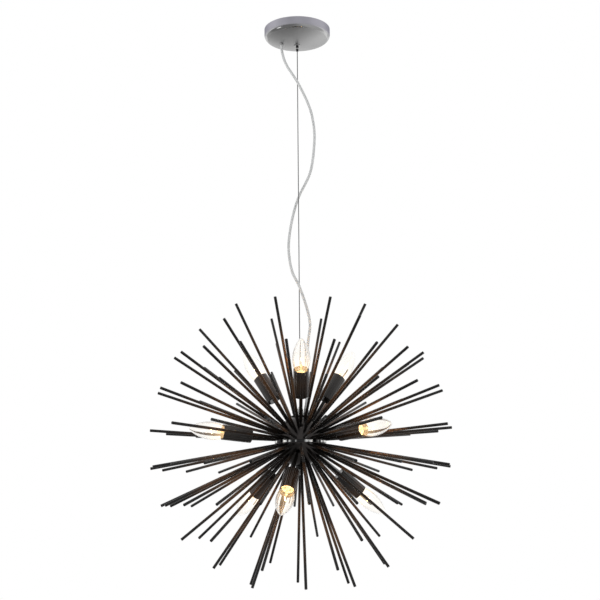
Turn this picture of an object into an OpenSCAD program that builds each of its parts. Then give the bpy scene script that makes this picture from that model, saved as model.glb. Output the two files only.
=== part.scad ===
// Hanging cluster light. A round hub carries ten rows of equal straight rods and nine candle lights.
// It hangs on one steel wire from a gripper in a ceiling canopy, with the power cord wound loosely round it.
// Millimetres, +Z up, ceiling plane at z = 0, the light hangs to -Z, the photographed side faces -Y.

/* [Ceiling canopy] */
// Outer diameter of the canopy cup
canopy_d = 138; // [100:1:200]
// Height of the canopy, from the ceiling to its flat underside
canopy_h = 22; // [18:0.5:40]
// Wall thickness of the canopy
canopy_wall = 1.2; // [0.8:0.1:2.5]
// Radius of the rounded bottom edge of the canopy
canopy_edge_r = 3.2; // [1.5:0.1:8]

/* [Ceiling bracket] */
// Length of the strap bracket from foot end to foot end
bracket_l = 122; // [80:1:130]
// Width of the strap bracket
bracket_w = 20; // [14:0.5:30]
// Thickness of the strap
bracket_t = 2; // [1.5:0.1:3]
// Spacing of the two ceiling screw slots
slot_spacing = 102; // [60:1:110]
// Width of a ceiling screw slot
slot_w = 5; // [4:0.1:6]
// Length of a ceiling screw slot, end to end
slot_l = 11; // [6:0.5:16]
// Outer length of the raised bridge of the strap
bridge_l = 84; // [60:1:90]
// Length of the terminal block
block_l = 30; // [20:1:36]
// Depth of the terminal block
block_w = 15; // [10:1:18]
// Height of the terminal block
block_h = 10; // [6:0.5:12]

/* [Wire and gripper] */
// Diameter of the steel suspension wire
wire_d = 2; // [1:0.1:4]
// Outer diameter of the threaded stem of the gripper
stem_d = 10; // [8:0.5:12]
// Outer diameter of the gripper body under the canopy
gripper_d = 14; // [12:0.5:20]
// Height of the gripper body under the canopy
gripper_h = 14.5; // [10:0.5:25]
// Diameter of the release plunger of the gripper
plunger_d = 5.6; // [5:0.1:8]
// How far the plunger stands out under the gripper body
plunger_out = 11.5; // [6:0.5:14]
// How far the plunger can be pushed in
plunger_travel = 3; // [2:0.1:4]
// Wire diameter of the plunger spring
spring_wire = 0.5; // [0.4:0.05:0.8]
// Length of the plunger inside the gripper body
plunger_in = 4; // [3:0.5:6]
// Height of the nut that clamps the canopy to the gripper
low_nut_h = 4.8; // [4:0.1:7]
// Height of the nut on the bridge of the bracket
nut_h = 4; // [3:0.5:6]

/* [Power cord] */
// Diameter of the round power cord
cord_d = 5.4; // [4.5:0.1:7]
// Distance of the cord exit from the middle of the canopy
cord_exit_x = 33; // [24:0.5:45]
// Length of the cord gland under the canopy
gland_out = 12; // [8:0.5:18]
// Outer diameter of the narrow end of both cord glands
gland_tip_d = 7.4; // [7:0.1:10]
// Outer diameter of the flange of both cord glands
gland_flange_d = 11; // [9.5:0.5:16]
// Thickness of the gland flanges
gland_flange_t = 1.4; // [1:0.1:3]
// Distance of the cord from the middle of the hub lid
hub_cord_x = 13; // [12.5:0.1:14.5]
// Height of the hub's cord gland above the lid
hub_gland_out = 11.5; // [8:0.5:16]

/* [Hub] */
// Height of the hub centre below the ceiling
hub_drop = 864; // [600:1:1500]
// Outer radius of the two hub shells
shell_r = 50; // [45:0.5:70]
// Wall thickness of the hub shells
shell_wall = 4; // [3:0.5:6]
// How much of the ball the flat top of the upper shell cuts away
top_cut = 4; // [3:0.5:6]
// How much of the ball the flat bottom of the lower shell cuts away
bottom_cut = 2; // [1:0.5:4]
// Height of the bright belt round the joint of the shells
belt_h = 5; // [3:0.5:8]
// How far the belt stands out of the shells
belt_proud = 1.5; // [0.5:0.1:3]
// Depth of the groove that the belt lies in
belt_groove = 1.4; // [0.8:0.1:2]
// Height of the belt middle above the hub centre
belt_z = -2.5; // [-3:0.1:0]
// Diameter of the lid on the flat top
lid_d = 37; // [34:0.5:38]
// Thickness of the lid
lid_t = 3.5; // [2:0.5:6]
// Outer diameter of the middle tube that clamps the hub
tube_d = 10; // [8:0.5:12]
// Bore of the middle tube
tube_bore = 6; // [4:0.5:8]
// Outer diameter of the wire anchor on top of the middle tube
anchor_d = 12; // [11.5:0.5:14]
// Height of the wire anchor above the lid
anchor_h = 19; // [12:0.5:30]
// Width across the flats of the nut under the hub
bottom_nut_af = 17; // [13:0.5:22]
// Height of the nut under the hub
bottom_nut_h = 8; // [5:0.5:14]
// How far the middle tube stands out under that nut
tube_stub = 9.5; // [4:0.5:20]
// Outer diameter of the connector ring inside the hub
connector_d = 34; // [32:0.5:40]
// Height of the connector ring inside the hub
connector_h = 11; // [6:0.5:16]
// Height of the bottom of the connector ring above the hub centre
connector_low = 12; // [4:0.5:16]
// How far the middle tube reaches into the wire anchor
tube_in_anchor = 6; // [4:0.5:10]

/* [Rods] */
// Diameter of a rod
rod_d = 5.6; // [4:0.1:7]
// Distance of every rod tip from the hub centre
rod_tip_r = 300; // [220:1:450]
// Size of the chamfer on a rod tip
rod_chamfer = 0.5; // [0.2:0.1:1]
// Latitude angle of the lowest row of rods, in degrees
first_row_angle = -68; // [-70:0.5:-66]
// Angle from one row to the next, in degrees
row_step_angle = 14.5; // [14:0.1:15]
// How far the inner end of a rod stays back from the inner face of the shell
rod_set_back = 0.6; // [0.2:0.1:2]

/* [Lights] */
// Latitude angle of the upper three lights, in degrees
upper_light_angle = 55; // [53:0.5:57]
// Latitude angle of the middle three lights, in degrees
middle_light_angle = 5.5; // [5:0.5:9]
// Latitude angle of the lower three lights, in degrees
lower_light_angle = -39; // [-41:0.5:-37]
// How far an arm tube reaches inside the hub, past the inner face of the shell
arm_reach_in = 8; // [5:0.5:12]
// How far an arm tube reaches into its cover, past the cover's bottom
arm_reach_out = 9; // [7:0.5:14]
// Outer diameter of an arm tube
arm_d = 7; // [6:0.1:8]
// Bore of an arm tube
arm_bore = 5; // [3:0.1:6]
// Distance of the bottom of a cover from the hub centre
cover_r0 = 102; // [90:1:140]
// Length of a cover
cover_l = 58; // [50:1:64]
// Outer diameter of a cover
cover_d = 30; // [29:0.5:34]
// Wall thickness of a cover
cover_wall = 1.2; // [0.8:0.1:2]
// Thickness of the bottom of a cover
cover_floor = 3; // [2:0.5:5]
// Outer diameter of a lamp holder
holder_d = 24.6; // [22:0.2:28]
// Depth from the mouth of a cover to the mouth of its lamp holder
holder_depth = 10; // [6:0.5:16]
// Diameter of the narrow foot of a lamp holder
holder_foot_d = 15; // [12:0.5:20]
// How far the wide part of a lamp holder overlaps the end of the arm
holder_overlap = 5; // [3:0.5:8]
// Depth of the socket in a lamp holder, from its mouth to the bulb contact
socket_depth = 24; // [20:0.5:28]

/* [Candle bulbs] */
// Diameter of the glass candle
bulb_d = 35; // [30:0.5:40]
// Length of a bulb from its contact to its glass tip
bulb_l = 100; // [90:1:115]
// Radius of the rounded glass tip
bulb_tip_r = 6; // [3:0.5:9]
// Distance from the glass tip back to the widest place
bulb_belly = 44; // [35:1:55]
// Thickness of the glass
glass_wall = 0.9; // [0.6:0.1:1.5]
// Outer diameter of the screw cap
cap_d = 13.9; // [13:0.1:14.5]
// Length of the bulb cap with its contact
cap_l = 21; // [18:0.5:26]
// Wall thickness of the bulb cap
cap_wall = 0.8; // [0.4:0.1:1.2]
// Height of the glass stem inside a bulb
stem_h = 22; // [12:1:30]

/* [Fits] */
// Side clearance of a rod, an arm or a tube in its hole
fit = 0.05; // [0.02:0.01:0.1]
// Loose clearance between separate pieces
gap = 0.3; // [0.3:0.05:0.5]

/* [Hidden] */
round_fn = 48;
small_fn = 24;
rod_fn = 16;
canopy_r = canopy_d / 2;
underside = -canopy_h;
bridge_low = underside + canopy_wall + low_nut_h;
bridge_top = bridge_low + bracket_t;
gripper_low = underside - gripper_h;
nose = gripper_low - plunger_out;
plunger_top = gripper_low + plunger_in;
spring_h = plunger_travel + 1.6;
pocket_top = plunger_top + spring_h;
stem_top = bridge_top + nut_h + 1;
tail_low = nose + 0.7;
exit_z = underside - gland_out;
hub_z = -hub_drop;
top_flat = shell_r - top_cut;
bottom_flat = shell_r - bottom_cut;
lid_top = top_flat + lid_t;
anchor_top = lid_top + anchor_h;
hub_gland_top = lid_top + hub_gland_out;
inner_r = shell_r - shell_wall;
roof = top_flat - shell_wall;
floor_z = -(bottom_flat - shell_wall);
nut_low = -bottom_flat - bottom_nut_h;
tube_low = nut_low - tube_stub;
tube_top = lid_top + tube_in_anchor;
connector_top = connector_low + connector_h;
rod_start = inner_r + rod_set_back;
arm_start = inner_r - arm_reach_in;
arm_end = cover_r0 + cover_floor + arm_reach_out;
cover_mouth = cover_r0 + cover_l;
holder_mouth = cover_mouth - holder_depth;
contact_r = holder_mouth - socket_depth;
tip_r = contact_r + bulb_l;
cap_top = contact_r + cap_l;
belly_r = tip_r - bulb_belly;
holder_floor = contact_r - gap;
neck_top = holder_mouth + 1;
holder_low = arm_end - holder_overlap;

// Ten rows of rods: how many equal places each has, and the azimuth of its first place
row_places = [6, 8, 10, 20, 20, 18, 18, 18, 9, 8];
row_phase = [4, 21.5, 27.5, 3, 1, 48.5, 9.5, 14.5, 34.5, 25.5];
// Nine lights: three rows of three, each row with its latitude and the azimuth of its first light
light_lat = [upper_light_angle, middle_light_angle, lower_light_angle];
light_az = [1.5, 48.5, -12];
// A place nearer to the axis of a light than this angle stays empty, so that no rod touches a cover
light_angle = atan((cover_d / 2 + rod_d / 2 + 2 * gap) / cover_r0);

// Route of the free power cord, from the gland under the canopy to the gland on the hub. Its upper stretch
// stays with the ceiling, its lower one swings with the wire, and they meet where the cord first crosses it.
cord_crossing = 3;
cord_steps = 4;
cord_points = [
    [-33, 0, -34], [-32, -1, -50], [-23, -5, -80], [0, -9, -120], [21, -7, -165], [31, -3, -200],
    [34, 0, -245], [25, 6, -310], [0, 9, -364], [-14, 6, -414], [-21, 0, -470], [-15, -6, -520],
    [0, -9, -554], [14, -5, -595], [21, 0, -630], [17, 3, -665], [14, 2, -710], [13, 0, -760],
    [13, 0, -785], [13, 0, -803]
];
// Route of the short cord end inside the canopy, from the gland to the terminal block
tail_points = [
    [-33, 0, -34], [-33, 0, -20], [-32, -3, -13], [-30, -12, -10], [-27, -23, -9.5], [-23, -28, -9.5],
    [-18.5, -29, -9.5], [-15.4, -29, -9.5]
];

// Turns local +Z to a latitude and an azimuth, counted from the front towards the right
module aim(lat, az) {
    rotate([0, 0, az - 90])
        rotate([0, 90 - lat, 0])
            children();
}

// Places children at the hub
module at_hub() {
    translate([0, 0, hub_z])
        children();
}

// Places children along the axis of light n, counted from 0
module at_light(n) {
    at_hub()
        aim(light_lat[floor(n / 3)], light_az[floor(n / 3)] + 120 * (n % 3))
            children();
}

// A plain ring standing on z = 0
module ring(d_out, d_in, h, fn = round_fn) {
    difference() {
        cylinder(d = d_out, h = h, $fn = fn);
        translate([0, 0, -1])
            cylinder(d = d_in, h = h + 2, $fn = fn);
    }
}

// Rods: latitude of a row, direction of a latitude and an azimuth, and the azimuths of a row's filled places
function row_lat(i) = first_row_angle + row_step_angle * i;
function direction(lat, azimuth) = [cos(lat) * sin(azimuth), -cos(lat) * cos(azimuth), sin(lat)];
function nearest_light(ray) = max([
    for (row = [0:2], k = [0:2]) ray * direction(light_lat[row], light_az[row] + 120 * k)
]);
function rod_azimuths(i) = [
    for (k = [0:row_places[i] - 1])
        let (azimuth = row_phase[i] + k * 360 / row_places[i])
            if (nearest_light(direction(row_lat(i), azimuth)) < cos(light_angle)) azimuth
];

// Smooth curve through points
function catmull(a, b, c, d, t) =
    0.5 * (2 * b + (c - a) * t + (2 * a - 5 * b + 4 * c - d) * t * t + (3 * b - a - 3 * c + d) * t * t * t);
function point_at(p, i) = i < 0 ? 2 * p[0] - p[1] : i >= len(p) ? 2 * p[len(p) - 1] - p[len(p) - 2] : p[i];
function smooth(p, steps) = concat(
    [for (i = [0:len(p) - 2]) for (s = [0:steps - 1])
        catmull(point_at(p, i - 1), p[i], p[i + 1], point_at(p, i + 2), s / steps)],
    [p[len(p) - 1]]
);
function unit(v) = v / norm(v);
function along(p, i) = unit(p[min(i + 1, len(p) - 1)] - p[max(i - 1, 0)]);
// The end faces lie flat in the gland faces
function end_along(p, i, flat_start, flat_end) =
    (i == 0 && flat_start) || (i == len(p) - 1 && flat_end) ? [0, 0, p[len(p) - 1][2] > p[0][2] ? 1 : -1]
    : along(p, i);

// A round cord swept along a smooth curve
module cord(points, d, steps, sides, flat_start = true, flat_end = true, first = 0, last = -1, start_gap = 0) {
    route = smooth(points, steps);
    end = last < 0 ? len(route) - 1 : last;
    p = [for (i = [first:end]) route[i] - (i == first ? [0, 0, start_gap] : [0, 0, 0])];
    n = len(p);
    verts = [for (i = [0:n - 1]) let (
            t = end_along(p, i, flat_start, flat_end),
            u = unit(cross([0.02, 1, 0], t)),
            v = cross(t, u)
        ) for (k = [0:sides - 1]) p[i] + (d / 2) * (cos(360 * k / sides) * u + sin(360 * k / sides) * v)];
    sides_f = [for (i = [0:n - 2]) for (k = [0:sides - 1]) let (
            a = i * sides + k,
            b = i * sides + (k + 1) % sides,
            c = a + sides,
            e = b + sides
        ) each [[a, c, b], [b, c, e]]];
    start_f = [[for (k = [0:sides - 1]) k]];
    end_f = [[for (k = [sides - 1:-1:0]) (n - 1) * sides + k]];
    polyhedron(points = verts, faces = concat(sides_f, start_f, end_f), convexity = 8);
}

// Ceiling pieces

module strap_side() {
    half = bracket_l / 2;
    bridge = bridge_l / 2;
    polygon([
        [-half, 0], [-bridge, 0], [-bridge, bridge_top], [bridge, bridge_top], [bridge, 0], [half, 0],
        [half, -bracket_t], [bridge + bracket_t, -bracket_t], [bridge + bracket_t, bridge_low],
        [-bridge - bracket_t, bridge_low], [-bridge - bracket_t, -bracket_t], [-half, -bracket_t]
    ]);
}

module screw_slot() {
    reach = (slot_l - slot_w) / 2;
    translate([0, 0, -bracket_t - 1])
        linear_extrude(height = bracket_t + 2)
            union() {
                translate([-slot_w / 2, -reach])
                    square([slot_w, 2 * reach]);
                for (s = [-1, 1])
                    translate([0, s * reach])
                        circle(d = slot_w, $fn = small_fn);
            }
}

// Hat-shaped steel strap whose bridge carries the gripper
module ceiling_bracket() {
    color("silver")
        difference() {
            translate([-bracket_w / 2, 0, 0])
                rotate([90, 0, 90])
                    linear_extrude(height = bracket_w)
                        strap_side();
            for (s = [-1, 1])
                translate([0, s * slot_spacing / 2, 0])
                    screw_slot();
            translate([0, 0, bridge_low - 1])
                cylinder(d = stem_d + 2 * fit, h = bracket_t + 2, $fn = small_fn);
        }
}

module cup_profile(r, low, edge) {
    union() {
        translate([0, low])
            square([r - edge, -low + 1]);
        translate([0, low + edge])
            square([r, -low - edge + 1]);
        translate([r - edge, low + edge])
            circle(r = edge, $fn = small_fn);
    }
}

// Pressed cup with a flat underside and a rounded edge
module canopy_cup() {
    color("lightgray")
        difference() {
            rotate_extrude($fn = 72)
                difference() {
                    intersection() {
                        cup_profile(canopy_r, underside, canopy_edge_r);
                        translate([0, underside])
                            square([canopy_r, canopy_h]);
                    }
                    cup_profile(canopy_r - canopy_wall, underside + canopy_wall, canopy_edge_r - canopy_wall);
                }
            translate([0, 0, underside - 1])
                cylinder(d = stem_d + 2 * fit, h = canopy_wall + 2, $fn = small_fn);
            translate([-cord_exit_x, 0, underside - 1])
                cylinder(d = gland_tip_d + 2 * fit, h = canopy_wall + 2, $fn = small_fn);
        }
}

// Three-way terminal block standing on the bridge
module terminal_block() {
    y0 = -bridge_l / 2 + bracket_t + 3;
    color("white")
        difference() {
            translate([-block_l / 2, y0, bridge_top])
                cube([block_l, block_w, block_h]);
            for (i = [-1:1])
                translate([i * block_l / 3.4, y0 + block_w / 2, bridge_top + block_h - 4])
                    cylinder(d = 3.2, h = 5, $fn = small_fn);
        }
}

// Turned gripper with its threaded stem, its shoulder and the bore of the plunger
module gripper_body() {
    chamfer = 1;
    color("gainsboro")
        difference() {
            union() {
                translate([0, 0, gripper_low])
                    cylinder(d1 = gripper_d - 2 * chamfer, d2 = gripper_d, h = chamfer, $fn = round_fn);
                translate([0, 0, gripper_low + chamfer])
                    cylinder(d = gripper_d, h = gripper_h - chamfer, $fn = round_fn);
                translate([0, 0, underside])
                    cylinder(d = stem_d, h = stem_top - underside, $fn = round_fn);
            }
            translate([0, 0, gripper_low - 1])
                cylinder(d = plunger_d + 2 * fit, h = pocket_top - gripper_low + 1, $fn = small_fn);
            translate([0, 0, gripper_low])
                cylinder(d = wire_d + 2 * gap, h = stem_top - gripper_low + 1, $fn = small_fn);
        }
}

// Two hexagon nuts on the stem: one clamps the canopy, one holds the stem in the bridge
module gripper_nuts() {
    color("silver")
        for (n = [[underside + canopy_wall, low_nut_h], [bridge_top, nut_h]])
            translate([0, 0, n[0]])
                difference() {
                    cylinder(d = (stem_d + 4) / cos(30), h = n[1], $fn = 6);
                    translate([0, 0, -1])
                        cylinder(d = stem_d + 2 * fit, h = n[1] + 2, $fn = small_fn);
                }
}

// Release plunger with its conical nose
module gripper_plunger() {
    nose_d = wire_d + 2.6;
    cone_h = 3;
    color("dimgray")
        difference() {
            union() {
                translate([0, 0, nose])
                    cylinder(d1 = nose_d, d2 = plunger_d, h = cone_h, $fn = small_fn);
                translate([0, 0, nose + cone_h])
                    cylinder(d = plunger_d, h = plunger_top - nose - cone_h, $fn = small_fn);
            }
            translate([0, 0, nose - 1])
                cylinder(d = wire_d + 1, h = plunger_top - nose + 2, $fn = small_fn);
            translate([0, 0, nose + cone_h + 1.2])
                difference() {
                    cylinder(d = plunger_d + 1, h = 1, $fn = small_fn);
                    translate([0, 0, -1])
                        cylinder(d = plunger_d - 1, h = 3, $fn = small_fn);
                }
        }
}

// Small coil spring over the plunger
module plunger_spring() {
    turns = 3;
    per = 12;
    r = plunger_d / 2 - spring_wire / 2 - 0.1;
    rise = spring_h - spring_wire - 0.2;
    z0 = plunger_top + 0.1 + spring_wire / 2;
    p = [for (i = [0:turns * per]) [r * cos(360 * i / per), r * sin(360 * i / per), z0 + rise * i / (turns * per)]];
    n = len(p);
    sides = 6;
    verts = [for (i = [0:n - 1]) let (
            out = [cos(360 * i / per), sin(360 * i / per), 0]
        ) for (k = [0:sides - 1])
            p[i] + (spring_wire / 2) * (cos(60 * k) * out + [0, 0, sin(60 * k)])];
    color("silver")
        polyhedron(points = verts, convexity = 6, faces = concat(
            [for (i = [0:n - 2]) for (k = [0:sides - 1]) let (
                    a = i * sides + k,
                    b = i * sides + (k + 1) % sides
                ) each [[a, b, a + sides], [b, b + sides, a + sides]]],
            [[for (k = [sides - 1:-1:0]) k]],
            [[for (k = [0:sides - 1]) (n - 1) * sides + k]]
        ));
}

// End of the wire held in the gripper, from the nose up into the canopy
module wire_tail() {
    color("gray")
        translate([0, 0, tail_low])
            cylinder(d = wire_d, h = -5 - tail_low, $fn = small_fn);
}

// Clear grommet with a flange on each side of the canopy and a tapered neck
module canopy_cord_gland() {
    color("lightsteelblue")
        translate([-cord_exit_x, 0, 0])
            difference() {
                union() {
                    translate([0, 0, exit_z])
                        cylinder(d1 = gland_tip_d, d2 = gland_flange_d - 1.5, h = gland_out - gland_flange_t,
                            $fn = round_fn);
                    translate([0, 0, underside - gland_flange_t])
                        cylinder(d = gland_flange_d, h = gland_flange_t, $fn = round_fn);
                    translate([0, 0, underside])
                        cylinder(d = gland_tip_d, h = canopy_wall, $fn = small_fn);
                    translate([0, 0, underside + canopy_wall])
                        cylinder(d = gland_flange_d, h = gland_flange_t, $fn = round_fn);
                }
                translate([0, 0, exit_z - 1])
                    cylinder(d = cord_d + 0.4, h = canopy_h + gland_out, $fn = small_fn);
            }
}

module canopy_cord_tail() {
    color("lightsteelblue")
        cord(tail_points, cord_d, 4, 8, true, false);
}

// Hanging pieces

module suspension_wire() {
    low = hub_z + lid_top + 8;
    color("gray")
        translate([0, 0, low])
            cylinder(d = wire_d, h = nose - low, $fn = small_fn);
}

// Both stretches of the power cord follow one curve and end in level faces
module cord_upper_stretch() {
    color("lightsteelblue")
        cord(cord_points, cord_d, cord_steps, 8, last = cord_crossing * cord_steps);
}

module power_cord() {
    color("lightsteelblue")
        cord(cord_points, cord_d, cord_steps, 8, first = cord_crossing * cord_steps, start_gap = gap);
}

// All holes that the rods of rows a to b and the arms need
module rod_holes(a, b) {
    for (i = [a:b])
        for (azimuth = rod_azimuths(i))
            aim(row_lat(i), azimuth)
                translate([0, 0, arm_start])
                    cylinder(d = rod_d + 2 * fit, h = shell_r + 4 - arm_start, $fn = small_fn);
}

module arm_holes(rows) {
    for (row = rows)
        for (k = [0:2])
            aim(light_lat[row], light_az[row] + 120 * k)
                translate([0, 0, arm_start - 2])
                    cylinder(d = arm_d + 2 * fit, h = shell_r + 6 - arm_start, $fn = small_fn);
}

module belt_cut() {
    translate([0, 0, belt_z - belt_h / 2 - fit])
        difference() {
            cylinder(r = shell_r + 5, h = belt_h + 2 * fit, $fn = round_fn);
            translate([0, 0, -1])
                cylinder(r = shell_r - belt_groove, h = belt_h + 4, $fn = 72);
        }
}

// Upper half of the hub with its flat top
module hub_upper_shell() {
    color("black")
        at_hub()
            difference() {
                sphere(r = shell_r, $fn = 72);
                difference() {
                    sphere(r = inner_r, $fn = 72);
                    translate([-shell_r, -shell_r, roof])
                        cube([2 * shell_r, 2 * shell_r, shell_r]);
                }
                translate([-2 * shell_r, -2 * shell_r, belt_z - 4 * shell_r])
                    cube([4 * shell_r, 4 * shell_r, 4 * shell_r]);
                translate([-shell_r, -shell_r, top_flat])
                    cube([2 * shell_r, 2 * shell_r, shell_r]);
                belt_cut();
                translate([0, 0, roof - 2])
                    cylinder(d = tube_d + 2 * fit, h = shell_wall + 4, $fn = small_fn);
                translate([hub_cord_x, 0, roof - 2])
                    cylinder(d = gland_tip_d + 2 * fit, h = shell_wall + 4, $fn = small_fn);
                rod_holes(5, 9);
                arm_holes([0, 1]);
            }
}

// Lower half of the hub with its flat bottom
module hub_lower_shell() {
    color("black")
        at_hub()
            difference() {
                sphere(r = shell_r, $fn = 72);
                difference() {
                    sphere(r = inner_r, $fn = 72);
                    translate([-shell_r, -shell_r, floor_z - shell_r])
                        cube([2 * shell_r, 2 * shell_r, shell_r]);
                }
                translate([-2 * shell_r, -2 * shell_r, belt_z])
                    cube([4 * shell_r, 4 * shell_r, 4 * shell_r]);
                translate([-shell_r, -shell_r, -bottom_flat - shell_r])
                    cube([2 * shell_r, 2 * shell_r, shell_r]);
                belt_cut();
                translate([0, 0, -bottom_flat - 2])
                    cylinder(d = tube_d + 2 * fit, h = shell_wall + 4, $fn = small_fn);
                rod_holes(0, 4);
                arm_holes([2]);
            }
}

// Bright belt in the groove over the joint
module hub_belt() {
    edge = 0.6;
    r = shell_r + belt_proud;
    color("silver")
        at_hub()
            translate([0, 0, belt_z - belt_h / 2])
                difference() {
                    union() {
                        cylinder(r1 = r - edge, r2 = r, h = edge, $fn = 72);
                        translate([0, 0, edge])
                            cylinder(r = r, h = belt_h - 2 * edge, $fn = 72);
                        translate([0, 0, belt_h - edge])
                            cylinder(r1 = r, r2 = r - edge, h = edge, $fn = 72);
                    }
                    translate([0, 0, -1])
                        cylinder(r = shell_r - belt_groove + fit, h = belt_h + 2, $fn = 72);
                }
}

// Lid on the flat top
module hub_lid() {
    color("black")
        at_hub()
            translate([0, 0, top_flat])
                difference() {
                    union() {
                        cylinder(d = lid_d, h = lid_t - 0.6, $fn = round_fn);
                        translate([0, 0, lid_t - 0.6])
                            cylinder(d1 = lid_d, d2 = lid_d - 1.2, h = 0.6, $fn = round_fn);
                    }
                    translate([0, 0, -1])
                        cylinder(d = tube_d + 2 * fit, h = lid_t + 2, $fn = small_fn);
                    translate([hub_cord_x, 0, -1])
                        cylinder(d = gland_tip_d + 2 * fit, h = lid_t + 2, $fn = small_fn);
                }
}

// Threaded tube that clamps lid, shells and nut
module centre_tube() {
    color("silver")
        at_hub()
            translate([0, 0, tube_low])
                ring(tube_d, tube_bore, tube_top - tube_low, small_fn);
}

// Turned anchor screwed on the tube, with the wire clamped in its cone
module wire_anchor() {
    cone_h = 6;
    color("silver")
        at_hub()
            translate([0, 0, lid_top])
                difference() {
                    union() {
                        cylinder(d = anchor_d, h = anchor_h - cone_h, $fn = round_fn);
                        translate([0, 0, anchor_h - cone_h])
                            cylinder(d1 = anchor_d, d2 = wire_d + 2.4, h = cone_h, $fn = round_fn);
                    }
                    translate([0, 0, -1])
                        cylinder(d = tube_d + 2 * fit, h = tube_top - lid_top + 1 + gap, $fn = small_fn);
                    translate([0, 0, tube_top - lid_top])
                        cylinder(d = wire_d + 2 * fit, h = anchor_h, $fn = small_fn);
                }
}

// Hexagon nut under the hub
module bottom_nut() {
    color("black")
        at_hub()
            translate([0, 0, nut_low])
                difference() {
                    cylinder(d = bottom_nut_af / cos(30), h = bottom_nut_h, $fn = 6);
                    translate([0, 0, -1])
                        cylinder(d = tube_d + 2 * fit, h = bottom_nut_h + 2, $fn = small_fn);
                }
}

// Clear grommet in the lid with a short taper
module hub_cord_gland() {
    color("lightsteelblue")
        at_hub()
            translate([hub_cord_x, 0, 0])
                difference() {
                    union() {
                        translate([0, 0, roof - 2])
                            cylinder(d = gland_tip_d, h = lid_top - roof + 2, $fn = small_fn);
                        translate([0, 0, lid_top])
                            cylinder(d = gland_tip_d + 2, h = gland_flange_t, $fn = round_fn);
                        translate([0, 0, lid_top + gland_flange_t])
                            cylinder(d1 = gland_tip_d + 1.2, d2 = gland_tip_d,
                                h = hub_gland_top - lid_top - gland_flange_t, $fn = round_fn);
                    }
                    translate([0, 0, roof - 4])
                        cylinder(d = cord_d + 0.4, h = hub_gland_top - roof + 6, $fn = small_fn);
                }
}

// End of the cord inside the hub, down to the connector
module hub_cord_tail() {
    color("lightsteelblue")
        at_hub()
            translate([hub_cord_x, 0, connector_top])
                cylinder(d = cord_d, h = hub_gland_top - connector_top, $fn = small_fn);
}

// Connector ring on the middle tube, where the lead wires of the lights meet
module hub_connector() {
    color("white")
        at_hub()
            translate([0, 0, connector_low])
                ring(connector_d, tube_d + 2 * fit, connector_h);
}

// One row of equal rods, seated in the holes of the shell
module rod_row(i) {
    color("black")
        at_hub()
            for (azimuth = rod_azimuths(i))
                aim(row_lat(i), azimuth) {
                    translate([0, 0, rod_start])
                        cylinder(d = rod_d, h = rod_tip_r - rod_chamfer - rod_start, $fn = rod_fn);
                    translate([0, 0, rod_tip_r - rod_chamfer])
                        cylinder(d1 = rod_d, d2 = rod_d - 2 * rod_chamfer, h = rod_chamfer, $fn = rod_fn);
                }
}

// Arm tubes from inside the hub into the lamp holders
module arm_tubes() {
    color("black")
        for (n = [0:8])
            at_light(n)
                translate([0, 0, arm_start])
                    ring(arm_d, arm_bore, arm_end - arm_start, small_fn);
}

// Tubular cover, open at the bulb, closed at the arm by a floor with a rounded rim
module covers(row) {
    rim = 1.4;
    r = cover_d / 2;
    color("black")
        for (k = [0:2])
            at_light(row * 3 + k)
                rotate_extrude($fn = round_fn)
                    difference() {
                        union() {
                            translate([arm_d / 2 + fit, cover_r0])
                                square([r - rim - arm_d / 2 - fit, cover_l]);
                            translate([r - 2 * rim, cover_r0 + rim])
                                square([2 * rim, cover_l - rim]);
                            translate([r - rim, cover_r0 + rim])
                                circle(r = rim, $fn = small_fn);
                        }
                        translate([0, cover_r0 + cover_floor])
                            square([r - cover_wall, cover_l]);
                    }
}

// Lamp holder on the arm end, with the socket for the bulb cap
module holders(row) {
    color("dimgray")
        for (k = [0:2])
            at_light(row * 3 + k)
                difference() {
                    union() {
                        translate([0, 0, cover_r0 + cover_floor])
                            cylinder(d = holder_foot_d, h = holder_low - cover_r0 - cover_floor, $fn = round_fn);
                        translate([0, 0, holder_low])
                            cylinder(d = holder_d, h = holder_mouth - holder_low, $fn = round_fn);
                    }
                    translate([0, 0, cover_r0])
                        cylinder(d = arm_d + 2 * fit, h = arm_end - cover_r0 + gap, $fn = small_fn);
                    translate([0, 0, holder_floor])
                        cylinder(d = cap_d + 2 * gap, h = holder_mouth - holder_floor + 1, $fn = round_fn);
                }
}

// Half outline of the candle glass, shrunk by w: a straight neck in the holder, an arc out to the belly,
// a flatter arc on to the tip, which is rounded. Both arcs are upright at the belly.
module candle(w) {
    r = bulb_d / 2 - w;
    neck_r = cap_d / 2 - w;
    rho = bulb_tip_r - w;
    h = bulb_belly - w;
    upper = (r * r - rho * rho + (h - rho) * (h - rho)) / (2 * (r - rho));
    join = upper * (h - rho) / (upper - rho);
    drop = belly_r - neck_top;
    lower = ((r - neck_r) * (r - neck_r) + drop * drop) / (2 * (r - neck_r));
    translate([0, cap_top])
        square([neck_r, neck_top - cap_top + 0.01]);
    intersection() {
        translate([r - lower, belly_r])
            circle(r = lower, $fn = 96);
        translate([0, neck_top])
            square([r, drop + 0.01]);
    }
    intersection() {
        translate([r - upper, belly_r])
            circle(r = upper, $fn = 96);
        translate([0, belly_r])
            square([r, join]);
    }
    intersection() {
        translate([0, belly_r + h - rho])
            circle(r = rho, $fn = round_fn);
        translate([0, belly_r])
            square([r, h + 1]);
    }
}

// Hollow candle glass with its stem
module bulb_glass(n) {
    color("azure")
        at_light(n)
            rotate_extrude($fn = round_fn)
                union() {
                    difference() {
                        candle(0);
                        intersection() {
                            candle(glass_wall);
                            translate([0, cap_top + 2])
                                square([bulb_d, bulb_l]);
                        }
                    }
                    translate([0, cap_top + 1])
                        square([2.2, stem_h]);
                    translate([0, cap_top + 1])
                        square([4.5, 5]);
                }
}

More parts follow.
